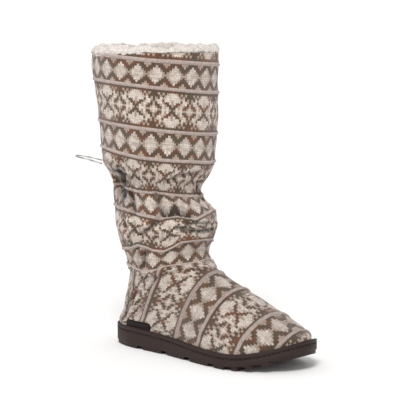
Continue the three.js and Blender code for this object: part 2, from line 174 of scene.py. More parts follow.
def addCamera():
    azimuth = math.radians(cameraView["azimuthDeg"])
    elevation = math.radians(cameraView["elevationDeg"])
    back = Vector((math.sin(azimuth) * math.cos(elevation), -math.cos(azimuth) * math.cos(elevation),
                   math.sin(elevation)))
    camera = addObject("camera", bpy.data.cameras.new("camera"))
    camera.data.sensor_width = cameraView["sensorMm"]
    camera.data.lens = cameraView["lensMm"]
    camera.location = (Vector(cameraView["target"]) + back * cameraView["distance"]) * mm
    camera.rotation_euler = back.to_track_quat("Z", "Y").to_euler()
    bpy.context.scene.camera = camera


addCamera()
print("camera set")

# Cord loop behind the gathers. Its points are measured from the back of the sole.
# between: the painted shade in the grooves between the cord's yarns
cordLoop = {"diameter": 1.6, "length": 68.5, "yarn": 1.2, "backOfSole": -37.8, "colour": "#bdbdbc",
            "between": "#808080"}
cordPoints = [(4.9, -42.9, 214.6), (2.1, -45.3, 215.4), (-1.8, -48.8, 216.7), (-6.8, -53, 218.2),
              (-11.6, -57, 219.3), (-15.4, -59.8, 219.9), (-18.8, -61.2, 219.9), (-21.4, -60.4, 219.1),
              (-21.9, -57.8, 218), (-19.8, -54.8, 217), (-15.8, -51.3, 215.8), (-11.2, -47.6, 214.3),
              (-6.6, -44.1, 212.6), (-2.4, -41, 211), (0.5, -39, 209.9)]


def braidedPolyester():
    # Braided polyester cord: pale, slightly glossy yarns on a slant with painted shade in the grooves between
    # them, drawn coarser than real ones to show.
    material, tree, shader, place = newMaterial("polyester cord, braided", {"Roughness": 0.6})
    waveScale = 1 / (cordLoop["yarn"] * mm) / waveRepeats
    strands = addNode(tree, "TexWave", {"bands_direction": "DIAGONAL"}, {
        "Vector": place, "Scale": waveScale, "Distortion": 1.0}, 1)
    tones = addNode(tree, "ValToRGB", {"stops": [
        (0, cordLoop["between"]), (1, cordLoop["colour"])]}, (strands,))
    bump = addNode(tree, "Bump", None, {"Height": strands, "Distance": 0.2 * mm, "Strength": 0.5})
    joinInputs(shader, {"Base Color": tones, "Normal": bump})
    return material


def addCordLoop():
    route = bpy.data.curves.new("cordLoop", "CURVE")
    route.dimensions = "3D"
    route.bevel_depth = cordLoop["diameter"] / 2 * mm
    route.bevel_resolution = 4
    route.resolution_u = 8
    spline = route.splines.new("NURBS")
    spline.points.add(len(cordPoints) - 1)
    places = (np.array(cordPoints) + (cordLoop["backOfSole"], 0, 0)) * mm
    for point, place in zip(spline.points, places):
        point.co = (*place, 1)
    spline.use_endpoint_u = True
    spline.order_u = 3
    route.materials.append(braidedPolyester())
    cord = addObject("cordLoop", route)
    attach(cord, "root")
    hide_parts("cord_loop")


addCordLoop()
print("cord made")

# Moulded sole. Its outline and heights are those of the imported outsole.
sole = {"length": 270, "ballWidth": 103, "heelMiddle": 37.8, "heelSide": 24, "ballSide": 17.5, "toeSide": 16,
        "toeSpring": 19, "archLift": 0.6, "tread": 4, "treadInset": 1.2, "edge": 1, "wall": 3.9,
        "sideFades": (0.12, 0.72), "rimBand": 4.6, "groove": 1.6, "grooveDepth": 1.2, "heelFloor": 12,
        "ballFloor": 8, "points": 220, "lugGroove": 10, "lugSink": 0.4,
        "lugPlaces": (58, 98, 138, 178, 202, 218, 234, 250), "stitchStep": 5.2, "stitchLength": 3.5,
        "stitchThick": 1.3, "stitchSides": 7}
soleOutline = [(0, 0), (0.03, -0.45), (0.12, -0.68), (0.36, -0.78), (0.6, -0.96), (0.74, -1), (0.87, -0.79),
               (0.965, -0.35), (1, 0.16), (0.965, 0.6), (0.87, 0.9), (0.74, 0.97), (0.6, 0.82), (0.4, 0.66),
               (0.12, 0.66), (0.03, 0.44)]


def outlinePoints(count):
    knots = np.array(soleOutline) * (sole["length"], sole["ballWidth"] / 2)
    dense = []
    for i in range(len(knots)):
        p0, p1, p2, p3 = (knots[(i + k) % len(knots)] for k in (-1, 0, 1, 2))
        d0, d1, d2 = (math.sqrt(np.linalg.norm(b - a)) for a, b in ((p0, p1), (p1, p2), (p2, p3)))
        t1 = ((p1 - p0) / d0 - (p2 - p0) / (d0 + d1) + (p2 - p1) / d1) * d1
        t2 = ((p2 - p1) / d1 - (p3 - p1) / (d1 + d2) + (p3 - p2) / d2) * d1
        t = np.linspace(0, 1, 40, endpoint=False)[:, None]
        dense.append((2 * t ** 3 - 3 * t ** 2 + 1) * p1 + (t ** 3 - 2 * t ** 2 + t) * t1
                     + (3 * t ** 2 - 2 * t ** 3) * p2 + (t ** 3 - t ** 2) * t2)
    dense = np.concatenate(dense)
    closed = np.vstack([dense, dense[:1]])
    travelled = lengthsAlong(closed)
    even = np.linspace(0, travelled[-1], count, endpoint=False)
    return np.stack([np.interp(even, travelled, closed[:, k]) for k in (0, 1)], -1)


def insetOutline(inset, count):
    plan = outlinePoints(count)
    along = np.roll(plan, -1, 0) - np.roll(plan, 1, 0)
    along /= np.linalg.norm(along, axis=1, keepdims=True)
    return plan + np.stack([-along[:, 1], along[:, 0]], -1) * inset


def soleBottom(x):
    toe = np.clip((x / sole["length"] - 0.74) / 0.26, 0, 1)
    waist = np.clip((x / sole["length"] - 0.24) / 0.4, 0, 1)
    return sole["toeSpring"] * toe ** 1.7 + sole["archLift"] * np.sin(math.pi * waist) ** 2


def rimTop(x):
    share = x / sole["length"]
    front = sole["ballSide"] + (sole["toeSide"] - sole["ballSide"]) * smoothStep(share, 0.76, 1)
    return soleBottom(x) + sole["heelSide"] + (front - sole["heelSide"]) * smoothStep(share, *sole["sideFades"])


def soleFloor(x):
    fall = smoothStep(x / sole["length"], *sole["sideFades"])
    return soleBottom(x) + sole["heelFloor"] + (sole["ballFloor"] - sole["heelFloor"]) * fall


# Knitted upper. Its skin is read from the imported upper, ring by ring, then smoothed and folded.
upperShape = {"collarTop": 337, "ringStep": 1.25, "lowest": 13, "columns": 384, "rays": 720, "rayFrom": 400,
              "softening": 3.0, "toeCrowd": 0.62, "instepHeight": 97, "ridgeRise": 1.9, "ridgeHalf": 1.488,
              "ridgeReach": 6, "bandSpan": 40, "softRipple": 0.5, "plainBelow": (26, 34), "floorGap": 1.5}
legAxis = {"up": (0, 60, 95, 150, 180, 266, 303, 337), "x": (18, 26, 31, 27, 16, 15.7, 11.6, 11.6),
           "radius": 55}

# Height of each raised knit ridge at angles round the leg (0 is the front, minus the outer side),
# measured along the leaning leg: z + lean x * (x - lean from) + lean y * y.
lean = {"x": 0.083, "y": 0.075, "from": 14.2}
ridgeAngles = (-180, -134, -118, -100, -88, -76, -66, -51, -41, -30, -13, 4, 22, 60, 110, 150, 180)
ridgeLevels = (
    (328.6, 328.6, 328.6, 328.1, 328.1, 328.3, 328.5, 329, 329.6, 330.6, 331.2, 331.8,
     332, 331, 330, 329, 328.6),
    (300.5,) * len(ridgeAngles),
    (253.8,) * len(ridgeAngles),
    (225, 225, 224.7, 223.3, 222.4, 221.6, 221, 221, 221.2, 221.6, 222, 221.6, 221.4, 222, 223, 224, 225),
    (183, 183, 182.5, 182.1, 181.4, 180.8, 181.4, 182.4, 182.2, 181.5, 181.2, 181, 180.8, 181, 182, 183, 183),
    (159, 158.6, 158.3, 158.6, 157.8, 156.6, 156.1, 155.8, 159, 160.8, 158.3, 164.5, 168, 162, 157, 159, 159),
    (106, 109.3, 112, 115.4, 121, 120.2, 117.7, 118.6, 124, 131.3, 134.2, 135.3, 134, 125, 116, 108, 106),
    (94, 92.8, 91.2, 90.4, 90.3, 92.6, 95.1, 101.2, 103.6, 105.5, 108.3, 110.4, 110, 104, 96, 94, 94),
)
openBand = 49.4                       # width of the bands above the first ridge and below the last
# Foot ridges, by their place along the sole at the height of its rim; tilt moves them forward higher up.
footRidges = {"place": (-71.5, -24, 14, 77.2, 115.4, 172.4, 210, 252), "firstLine": 5, "tilt": 0.36,
              "heelTilt": 0.17, "heelTiltFades": (22, 77), "rim": 22, "turnAt": 15}
# Stitches round the leg at each height, and the angle of the diamond column that faces the camera.
stitchesRound = {"up": (80, 110, 170, 230, 340), "count": (112, 118, 156, 168, 168)}
facingColumn = {"up": (80, 110, 171, 237, 317, 340), "around": (-73, -69, -60.3, -54.5, -46, -43.5)}
footStitch = {"width": 2.92, "fromCrest": 6, "crestBelow": 108, "fromRim": 3}
chartMiddle = 4.5                     # stitches from the start of a repeat to its middle column

# Creases and soft pillows pressed into the knit: a path of (angle round the leg, height), how far it
# pushes out (minus is in), its half width and, where it isn't left to the push, how much painted shade it gets
# inside.
creaseColumns = ("path", "push", "half", "dark")
creaseRows = (
    # hollow beside the string and the folds round it
    (((-101, 200), (-106, 189)), -9, 6.5, 2.2),
    (((-117, 190), (-108, 181)), -9, 6.5, 2.4),
    (((-140, 196), (-141, 180)), 3, 5),
    (((-124, 226), (-107, 221), (-93, 217)), 1.8, 3.5),
    # gathers and pleats beside it
    (((-97, 216), (-85, 195)), -2, 2.2),
    (((-89, 219), (-75, 202)), -1.7, 2.2),
    (((-86, 200), (-89, 185)), -1.6, 1.9),
    (((-78, 200), (-82, 186)), -1.6, 1.9),
    (((-70, 201), (-73, 185)), -1.6, 1.9),
    # front of the star band
    (((-38, 195), (-28, 200), (-17, 203), (3, 204)), -3.6, 2.4),
    (((8, 192), (17, 186), (29, 166)), -4.5, 3.2),
    # first slouch, with its pillows and valleys
    (((-46, 160), (-31, 162), (-18, 159)), -8, 3.6),
    (((-47, 168), (-30, 169), (-16, 166)), 2.5, 4.5),
    (((-50, 180), (-47, 165)), -4, 4),
    (((-64, 176), (-61, 166)), 3, 6),
    (((-31, 176), (-28, 168)), 3, 6),
    (((-78, 178), (-74, 164)), 2, 2.5),
    (((-89, 180), (-85, 160)), -5, 4.5),
    # second slouch
    (((-54, 154), (-63, 147), (-69, 142), (-78, 135)), -4, 3, 0.65),
    (((-34, 145), (-21, 141), (-5, 139), (14, 138)), -4, 2.8, 0.8),
    (((-25, 150), (-9, 149), (8, 148)), -3, 2.5, 0.75),
    (((-101, 149), (-95, 138), (-99, 125)), -3, 2.6),
    (((-86, 150), (-83, 139)), -2.6, 2.4),
    # ankle
    (((-84, 118), (-89, 108), (-93, 99)), 3, 2.2),
    (((-79, 117), (-84, 107), (-88, 98)), -3.4, 2),
    (((-89, 118), (-94, 108), (-98, 99)), -3.4, 2),
    (((-62, 87), (-73, 78), (-80, 68)), -3, 2.2),
    # heel pillow
    (((-113, 52), (-116, 38)), 4.5, 4.5),
    (((-112, 70), (-119, 55)), -4.5, 2.3),
    (((-127, 56), (-134, 43), (-139, 32)), -4, 2.3),
    (((-100, 54), (-102, 37)), -4, 2.3),
    # shade under the gathers, then the flare over the heel
    (((-130, 178), (-98, 172)), -1, 8, 0.3),
    (((-180, 27), (-122, 27)), 3, 8),
    (((180, 27), (125, 27)), 3, 8),
    # inner side
    (((40, 172), (75, 166), (110, 170)), -3, 3.5),
    (((30, 150), (60, 143), (100, 148), (130, 141)), -2.6, 3),
    (((45, 121), (80, 116), (120, 122)), -2.6, 3),
    (((60, 212), (85, 197), (100, 180)), -2.2, 2.6),
    # back
    (((150, 150), (180, 156)), -2.4, 3),
    (((-180, 156), (-150, 150)), -2.4, 3),
    (((140, 96), (165, 90), (180, 91)), -2, 2.6),
    (((-180, 91), (-155, 88), (-140, 92)), -2, 2.6),
)
creases = [dict(zip(creaseColumns, row)) for row in creaseRows]
collarBulge = {"around": -150, "spread": 45, "height": 322, "reach": 16, "push": 2.2, "lift": 1.5}
foldShade = {"steepest": 3.5, "keeps": 0.09}          # the steepest fold keeps this share of its light
gathers = {"height": 183, "spread": 20, "waves": 31, "deep": 0.9}


def castSkin():
    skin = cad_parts["upper"].data
    tree = BVHTree.FromPolygons([v.co for v in skin.vertices], [p.vertices for p in skin.polygons])
    highest = upperShape["collarTop"] - 0.05                  # a hair under the edge, where rays still hit
    heights = np.append(np.arange(upperShape["lowest"], highest, upperShape["ringStep"]), highest)
    share = np.linspace(-1, 1, upperShape["rays"], endpoint=False)
    count = upperShape["columns"]
    rings = np.zeros((len(heights), count, 3))
    for row in range(len(heights) - 1, -1, -1):
        z = heights[row]
        crowd = upperShape["toeCrowd"] * (1 - smoothStep(z / upperShape["instepHeight"], 0.62, 1.24))
        around = np.radians(180 * ((1 - crowd) * share + crowd * share ** 3))
        axis = np.interp(z, legAxis["up"], legAxis["x"])
        reach = np.full(len(share), np.nan)
        for i, turn in enumerate(around):
            way = Vector((math.cos(turn), math.sin(turn), 0))
            start = Vector((axis, 0, z)) * mm + way * (upperShape["rayFrom"] * mm)
            distance = tree.ray_cast(start, -way, upperShape["rayFrom"] * mm)[3]
            if distance is not None:
                reach[i] = upperShape["rayFrom"] - distance / mm
        if row < len(heights) - 1:
            reach = np.where(np.isnan(reach), lastReach, reach)
        lastReach = reach
        ring = np.column_stack([axis + reach * np.cos(around), reach * np.sin(around)])
        ring = np.vstack([ring, ring[:1]])
        travelled = lengthsAlong(ring)
        even = np.linspace(0, travelled[-1], count, endpoint=False)
        x, y = (np.interp(even, travelled, part) for part in ring.T)
        rings[row] = np.column_stack([x, y, np.full(count, z)])
    sigma = upperShape["softening"]
    for axis, wrap in ((1, True), (0, False)):
        rings[..., :2] = gaussian(rings[..., :2], sigma, axis, wrap)
    return rings


def wrapFromBack(values):
    # The first column repeated after the last, which closes each ring at the back seam.
    return np.concatenate([values, values[:, :1]], 1)


def alongRings(rings):
    # Distance round each ring from the back seam to each point, and all the way round.
    steps = np.linalg.norm(np.diff(wrapFromBack(rings), axis=1), axis=2)
    return np.pad(np.cumsum(steps, 1), ((0, 0), (1, 0)))


def legChart(rings):
    # The pattern's line and stitch column at each point of the leg. Whole lines are ridges.
    x, y, z = np.moveaxis(rings, 2, 0)
    around = np.degrees(np.arctan2(y, x - np.interp(z, legAxis["up"], legAxis["x"])))
    level = z + lean["x"] * (x - lean["from"]) + lean["y"] * y
    ridges = np.stack([np.interp(around, ridgeAngles, levels) for levels in ridgeLevels])
    last = len(ridges) - 1
    line = np.where(level > ridges[0], (ridges[0] - level) / openBand, last + (ridges[last] - level) / openBand)
    for k, (upper, lower) in enumerate(zip(ridges[:-1], ridges[1:])):
        line = np.where((level <= upper) & (level > lower), k + (upper - level) / (upper - lower), line)
    facing = np.interp(z[:, 0], facingColumn["up"], facingColumn["around"])
    count = np.interp(z[:, 0], stitchesRound["up"], stitchesRound["count"])
    column = alongRings(rings)
    for row, run in enumerate(column):
        order = np.argsort(around[row])
        start = np.interp(facing[row], around[row][order], run[:-1][order])
        column[row] = (run - start) / run[-1] * count[row] + chartMiddle
    return around, level - ridges[last], line, column


def footChart(rings):
    x, y, z = np.moveaxis(rings, 2, 0)
    rows, columns = x.shape
    tilted = footRidges["tilt"] * (z - footRidges["rim"])
    travelled = alongRings(rings)
    fromBack = np.minimum(travelled, travelled[:, -1:] - travelled)
    # The place along the foot is x ahead of turnAt, and runs on round the heel behind it.
    turnAt = footRidges["turnAt"]
    place = x.copy()
    for row in range(rows):
        for half in (slice(0, columns // 2), slice(columns // 2, columns)):
            ahead, back = x[row, half], fromBack[row, half]
            order = np.argsort(ahead)
            edge = np.interp(turnAt, ahead[order], back[order])
            place[row, half] = np.where(ahead > turnAt, ahead, turnAt - edge + back)
    straight = place - tilted
    heelTilt = footRidges["heelTilt"] * (z - footRidges["rim"])
    place = straight - heelTilt * (1 - smoothStep(straight, *footRidges["heelTiltFades"]))
    line = np.interp(place, footRidges["place"], footRidges["firstLine"] + np.arange(len(footRidges["place"])))
    # Length along each hoop, from the crest of the foot down to the point, on a sheet of hoops by rings.
    hoops = np.arange(-60.0, 240.0, 2.0)
    heights = z[:, 0]
    topRow = np.searchsorted(heights, footStitch["crestBelow"])
    run = np.zeros_like(x)
    for side in (-1, 1):
        sheet = np.zeros((rows, len(hoops)))
        for row in range(rows):
            mask = y[row] * side > 0
            order = np.argsort(x[row][mask])
            reached = hoops + tilted[row, 0]
            sheet[row] = np.interp(reached, x[row][mask][order], y[row][mask][order] * side)
            sheet[row][reached > x[row].max()] = 0
        steps = np.hypot(np.diff(sheet, axis=0), np.diff(heights)[:, None] * math.hypot(1, footRidges["tilt"]))
        falling = sheet.copy()
        for row in range(topRow - 1, -1, -1):
            started = sheet[row] > 0
            falling[row] = np.where(started & (sheet[row + 1] <= 0), sheet[row],
                                    falling[row + 1] + np.where(started, steps[row], 0))
        rising = np.pad(np.cumsum(steps, 0), ((1, 0), (0, 0)))
        for row in range(rows):
            mask = y[row] * side >= 0
            fromCrest = np.interp(straight[row][mask], hoops, falling[row])
            fromRim = np.interp(np.maximum(straight[row][mask], footRidges["place"][2]), hoops, rising[row])
            run[row][mask] = np.where(place[row][mask] < footRidges["place"][3],
                                      fromRim + footStitch["fromRim"], fromCrest) * side
    return line, (run + footStitch["fromCrest"]) / footStitch["width"] + chartMiddle


def underPatch(rings):
    # One behind the heel patch, fading to nought just above it.
    lowest, highest = (np.array(corner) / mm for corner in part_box("heel_patch"))
    x, y, z = np.moveaxis(rings, 2, 0)
    inside = (x > lowest[0] - 2) & (x < highest[0] + 2) & (y < 0)
    return inside * (1 - smoothStep(z, highest[2], highest[2] + 6))


def pressCreases(rings, around):
    normal = ringNormals(rings)
    z = rings[..., 2]
    toMm = math.radians(1) * legAxis["radius"]
    push, dark = np.zeros(z.shape), np.zeros(z.shape)
    for crease in creases:
        nearest = np.full(z.shape, 1e9)
        for (a0, z0), (a1, z1) in zip(crease["path"][:-1], crease["path"][1:]):
            offset = np.stack([(around - a0) * toMm, z - z0], -1)
            way = np.array([(a1 - a0) * toMm, z1 - z0])
            t = np.clip((offset @ way) / (way @ way), 0, 1)
            nearest = np.minimum(nearest, np.linalg.norm(offset - t[..., None] * way, axis=2))
        near = bell(nearest, 0, crease["half"])
        push += crease["push"] * near
        # painted shade inside each crease: its own amount, or one from how steep and deep its push is
        dark += near * crease.get("dark", max(-crease["push"] / crease["half"] / foldShade["steepest"], 0))
    strength = bell(z, gathers["height"], gathers["spread"])
    phase = np.radians(around) * gathers["waves"] + 1.5 * np.sin(np.radians(around) * 3) + z / 9
    push += gathers["deep"] * strength * np.sin(phase) * (0.6 + 0.4 * np.sin(np.radians(around) * 5))
    push += (collarBulge["push"] * bell(turnFrom(around, collarBulge["around"]), 0, collarBulge["spread"])
             * bell(z, collarBulge["height"], collarBulge["reach"]))
    folded = rings + normal * (push * (1 - underPatch(rings)))[..., None]
    folded[..., 2] += collarBulge["lift"] * smoothStep(z, upperShape["collarTop"] - 14, upperShape["collarTop"])
    return folded, np.clip(dark, 0, 1)


def ridgeProfile(line):
    return bell(line, np.round(line), upperShape["ridgeHalf"] / upperShape["bandSpan"])


yarn = {"oat": "#bda797", "oatDeep": "#a08a78", "cream": "#d6c7bb", "white": "#d8cabf", "dull": "#bbaa9d",
        "grey": "#a69689", "ridge": "#b8a69d", "brown": "#573d2a", "olive": "#52432d", "rust": "#6e4122"}
# Chart lines from each band's edge to its middle, as half rows; the other halves mirror them.
# . oat, w cream, s grey, # dark
# The first star line, next to each ridge, is all dark yarn: partly a brown row, partly painted shadow under the
# ridge.
starChart = ("#########", "##.#.#.ww", "###.#.www", "#.#w.wwww", "#.ww#www.", ".#ww.##w.", ".##.w.##.",
             "w.##wsw##", "ww..wwws#")
diamondChart = ("..###", ".###w", "###ww", "##sww", "#swww", ".swww")
# For stars and for diamonds: the share of a band that is ridge at each edge, its lines of stitches, the
# number of its first chart line, its repeats in one stitch and where in a repeat its columns start.
chartSizes = {"ridge": (0.042, 0.066), "lines": (17.0, 11.0), "firstLine": (0.0, 20.0),
              "perStitch": (1 / 16, 1 / 8), "start": (40 - 4 / 16, 40.0)}


def knittedWool():
    # Wool and acrylic yarn, knitted in stocking stitch: matt, with V stitches 2.7 to 2.9 mm wide and a halo.
    material, tree, shader, place = newMaterial("wool and acrylic yarn, knitted", {
        "Roughness": 0.95, "IOR": 1.5, "Sheen Weight": 0.25, "Sheen Roughness": 0.6})
    legUv = addNode(tree, "UVMap", {"uv_map": "legChart"})
    footUv = addNode(tree, "UVMap", {"uv_map": "footChart"})
    above = addNode(tree, "Attribute", {"attribute_name": "aboveAnkleRidge"}, None, 2)
    onLeg = addNode(tree, "Math", "GREATER_THAN", (above, 0.0))
    chartPlace = addNode(tree, "Mix", "VECTOR", {0: onLeg, 4: footUv, 5: legUv}, 1)
    column, line = addNode(tree, "SeparateXYZ", None, (chartPlace,)).node.outputs[:2]

    # Odd bands hold stars and even ones diamonds, but behind the heel ridge the foot is a second star band.
    band = addNode(tree, "Math", "FLOOR", (line,))
    share = addNode(tree, "Math", "SUBTRACT", (line, band))
    halfBand = addNode(tree, "Math", "MULTIPLY_ADD", (band, 0.5, 40.25))
    isStar = addNode(tree, "Math", "GREATER_THAN", (addNode(tree, "Math", "FRACT", (halfBand,)), 0.5))
    atHeel = addNode(tree, "Math", "COMPARE", (band, 6.0, 0.2))
    heelStar = addNode(tree, "Math", "GREATER_THAN", (atHeel, onLeg))
    isStar = addNode(tree, "Math", "MAXIMUM", (isStar, heelStar))
    chosen = {name: addNode(tree, "Mix", "FLOAT", {0: isStar, 2: diamond, 3: star})
              for name, (star, diamond) in chartSizes.items()}

    # V stitches: each line of yarn dips at the middle of its column.
    farEdge = addNode(tree, "Math", "SUBTRACT", (1.0, chosen["ridge"]))
    inner = addNode(tree, "MapRange", {"clamp": False}, {
        "Value": share, "From Min": chosen["ridge"], "From Max": farEdge, "To Max": chosen["lines"]})
    halfOver = addNode(tree, "Math", "ADD", (column, 0.5))
    fromMiddle = addNode(tree, "Math", "PINGPONG", (halfOver, 0.5))
    dipped = addNode(tree, "Math", "MULTIPLY_ADD", (fromMiddle, 1.1, -0.28))
    stitchLine = addNode(tree, "Math", "ADD", (inner, dipped))
    lastLine = addNode(tree, "Math", "SUBTRACT", (chosen["lines"], 1.0))
    wholeLine = addNode(tree, "Math", "FLOOR", (stitchLine,))
    lineNumber = addNode(tree, "Clamp", None, (wholeLine, 0.0, lastLine))
    middleLine = addNode(tree, "Math", "MULTIPLY", (lastLine, 0.5))
    fromEdge = addNode(tree, "Math", "PINGPONG", (lineNumber, middleLine))
    chartLine = addNode(tree, "Math", "ADD", (fromEdge, chosen["firstLine"]))
    repeats = addNode(tree, "Math", "MULTIPLY_ADD", (column, chosen["perStitch"], chosen["start"]))
    repeat = addNode(tree, "Math", "FRACT", (repeats,))

    # One stepped ramp for each chart line; red is dark yarn, green cream and blue grey.
    codes = {".": "#000000", "#": "#ff0000", "w": "#00ff00", "s": "#0000ff"}
    picked = None
    for firstLine, chart in zip(chartSizes["firstLine"], (starChart, diamondChart)):
        for number, half in enumerate(chart):
            text = half + half[-2:0:-1]
            stops = [(i / len(text), codes[stitch]) for i, stitch in enumerate(text)
                     if i == 0 or stitch != text[i - 1]]
            ramp = addNode(tree, "ValToRGB", {"stops": stops}, (repeat,))
            ramp.node.color_ramp.interpolation = "CONSTANT"
            if picked is None:
                picked = ramp
                continue
            here = addNode(tree, "Math", "COMPARE", (chartLine, firstLine + number, 0.4))
            picked = addNode(tree, "Mix", "RGBA", {0: here, 6: picked, 7: ramp}, 2)
    isDark, isPale, isGrey = addNode(tree, "SeparateColor", None, (picked,)).node.outputs

    # The dark yarn changes along its rows from brown to olive and rust, the white one is duller in places.
    yarnPlace = addNode(tree, "VectorMath", "MULTIPLY", (chartPlace, (0.11, 3.3, 0)))
    dye = addNode(tree, "TexNoise", None, {"Vector": yarnPlace, "Scale": 1.0, "Detail": 2.0})
    dark = addNode(tree, "ValToRGB", {"stops": [
        (0.36, yarn["olive"]), (0.5, yarn["brown"]), (0.61, yarn["rust"])]}, (dye,))
    paleNoise = addNode(tree, "TexNoise", None, {"Vector": place, "Scale": 1 / (14 * mm), "Detail": 3.0})
    oat = addNode(tree, "Mix", "RGBA", {0: paleNoise, 6: yarn["oatDeep"], 7: yarn["oat"]}, 2)
    patches = addNode(tree, "TexNoise", None, {"Vector": yarnPlace, "Scale": 2.3, "Detail": 1.0})
    whiter = addNode(tree, "MapRange", None, {"Value": patches, "From Min": 0.35, "From Max": 0.6})
    white = addNode(tree, "Mix", "RGBA", {0: whiter, 6: yarn["dull"], 7: yarn["white"]}, 2)
    pale = addNode(tree, "Mix", "RGBA", {0: isStar, 6: white, 7: yarn["cream"]}, 2)
    # A raised ridge of plain pale yarn lies between the bands, over the charts.
    towardEdge = addNode(tree, "Math", "PINGPONG", (share, 0.5))
    onRidge = addNode(tree, "Math", "LESS_THAN", (towardEdge, chosen["ridge"]))
    colour = oat
    for amount, over in ((isPale, pale), (isGrey, yarn["grey"]), (isDark, dark), (onRidge, yarn["ridge"])):
        colour = addNode(tree, "Mix", "RGBA", {0: amount, 6: colour, 7: over}, 2)

    # Heather: flecks smaller than a stitch, and whole stitches, a little lighter or darker.
    fleck = addNode(tree, "TexNoise", None, {"Vector": place, "Scale": 1 / (1.6 * mm), "Detail": 2.0})
    fleckShade = addNode(tree, "MapRange", None, {
        "Value": fleck, "From Min": 0.3, "From Max": 0.7, "To Min": 0.8, "To Max": 1.14})
    wholeColumn = addNode(tree, "Math", "FLOOR", (column,))
    countedLine = addNode(tree, "Math", "MULTIPLY_ADD", (band, 31.0, lineNumber))
    stitchPlace = addNode(tree, "CombineXYZ", None, (wholeColumn, countedLine))
    chance = addNode(tree, "TexWhiteNoise", {"noise_dimensions": "2D"}, {"Vector": stitchPlace})
    stitchShade = addNode(tree, "MapRange", None, {"Value": chance, "To Min": 0.86, "To Max": 1.08})
    # Painted shade: the gaps between the stitches are darker than their crowns, and the crowns a little
    # lighter.
    inStitch = addNode(tree, "Math", "FRACT", (stitchLine,))
    alongStitch = addNode(tree, "Math", "PINGPONG", (inStitch, 0.5))
    doubled = addNode(tree, "Math", "MULTIPLY", (fromMiddle, 2.0))
    acrossStitch = addNode(tree, "Math", "PINGPONG", (doubled, 0.5))
    lozenge = addNode(tree, "Math", "MULTIPLY", (alongStitch, acrossStitch))
    rounded = addNode(tree, "Math", "SQRT", (lozenge,))
    gapShade = addNode(tree, "MapRange", None, {"Value": rounded, "From Max": 0.4, "To Min": 0.62, "To Max": 1.06})
    # Painted shade: little light reaches the bottom of a fold, and the upward-facing foot is painted a little
    # darker than the leg.
    inFold = addNode(tree, "Attribute", {"attribute_name": "inFold"}, None, 2)
    foldLight = addNode(tree, "MapRange", None, {"Value": inFold, "To Min": 1.0, "To Max": foldShade["keeps"]})
    paintedFootShade = addNode(tree, "MapRange", None, {"Value": onLeg, "To Min": 0.84, "To Max": 1.0})
    shade = fleckShade
    for factor in (gapShade, stitchShade, foldLight, paintedFootShade):
        shade = addNode(tree, "Math", "MULTIPLY", (shade, factor))
    colour = addNode(tree, "VectorMath", "SCALE", {0: colour, 3: shade})
    height = addNode(tree, "Math", "MULTIPLY_ADD", (fleck, 0.35, rounded))
    bump = addNode(tree, "Bump", None, {"Height": height, "Distance": 0.9 * mm, "Strength": 0.8})
    joinInputs(shader, {"Base Color": colour, "Normal": bump})
    return material


def addKnitUpper():
    rings = castSkin()
    around, above, line, column = legChart(rings)
    rings, inFold = pressCreases(rings, around)
    footLine, footColumn = footChart(rings)
    x, y, z = np.moveaxis(rings, 2, 0)
    rise = np.where(above > -upperShape["ridgeReach"], ridgeProfile(np.clip(line, -0.4, 7.0)), 0)
    rise = np.where(above > 0, rise, np.maximum(ridgeProfile(footLine), rise))
    ripple = np.sin(x / 9.3 + z / 7.1) * np.sin(y / 8.2 - z / 11.3)
    clear = smoothStep(z, *upperShape["plainBelow"]) * (1 - underPatch(rings))
    lift = (upperShape["ridgeRise"] * rise + upperShape["softRipple"] * ripple) * clear
    normal = ringNormals(rings)
    rings = rings + normal * lift[..., None]
    # The lowest edge turns inward on the floor of the sole.
    floor = soleFloor(rings[..., 0] + sole["heelMiddle"]) + upperShape["floorGap"]
    deep = np.clip(floor - rings[..., 2], 0, None)
    rings = rings + deep[..., None] * (normal * (-1, -1, 0) + (0, 0, 1))
    columns = line.shape[1]
    faces = gridFaces(*line.shape)
    r, c = (index[:, None] for index in np.divmod(np.arange(len(faces)), columns))
    r, c = r + (0, 0, 1, 1), c + (0, 1, 1, 0)
    charts = {"legChart": np.stack([column, wrapFromBack(line)], -1)[r, c],
              "footChart": np.stack([wrapFromBack(footColumn), wrapFromBack(footLine)], -1)[r, c]}
    knit = addMesh("knitUpper", rings.reshape(-1, 3), faces, knittedWool(), charts,
                   {"aboveAnkleRidge": above, "inFold": inFold})
    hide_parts("upper")
    return rings


knitRings = addKnitUpper()
print("knit made")

# Fleece: a lining that shows inside, rolled up over the collar's edge in loose curls
fleece = {"rows": 52, "tufts": 3200, "tuftLength": (1.4, 3.2), "tuftThick": 0.5,
          "droop": (-100, 26), "dips": ((-145, 14, 4), (-30, 24, 2.5)), "tuck": (-152, 34, 3),
          "liningIn": 3.5, "liningFrom": 22, "colour": "#dcd5cf", "shade": "#c6bcb3"}
# The roll's section from inside to outside: how far out from the collar's edge, and how far above it
fleeceProfile = ((-4, -32), (-8, -24), (-9.5, -12), (-9.5, -3), (-8.8, 4), (-7, 7.6), (-4.8, 8.8),
                 (-2.6, 8), (-0.9, 6), (0.1, 3.6), (0.5, 1.5), (-0.3, 0.2), (-2.2, -0.4))


def boucleFleece():
    # Polyester sherpa fleece, brushed into curls: matt, soft, off-white, with painted shade in the hollows of
    # its curls.
    material, tree, shader, place = newMaterial("polyester sherpa fleece, brushed", {
        "Roughness": 1.0, "Sheen Weight": 0.4})
    curls = addNode(tree, "TexNoise", None, {
        "Vector": place, "Scale": 1 / (5 * mm), "Detail": 5.0, "Distortion": 1.2})
    tones = addNode(tree, "ValToRGB", {"stops": [
        (0.3, fleece["shade"]), (0.6, fleece["colour"])]}, (curls,))
    bump = addNode(tree, "Bump", None, {"Height": curls, "Distance": 2.5 * mm, "Strength": 0.7})
    joinInputs(shader, {"Base Color": tones, "Normal": bump})
    return material


fleeceMaterial = boucleFleece()


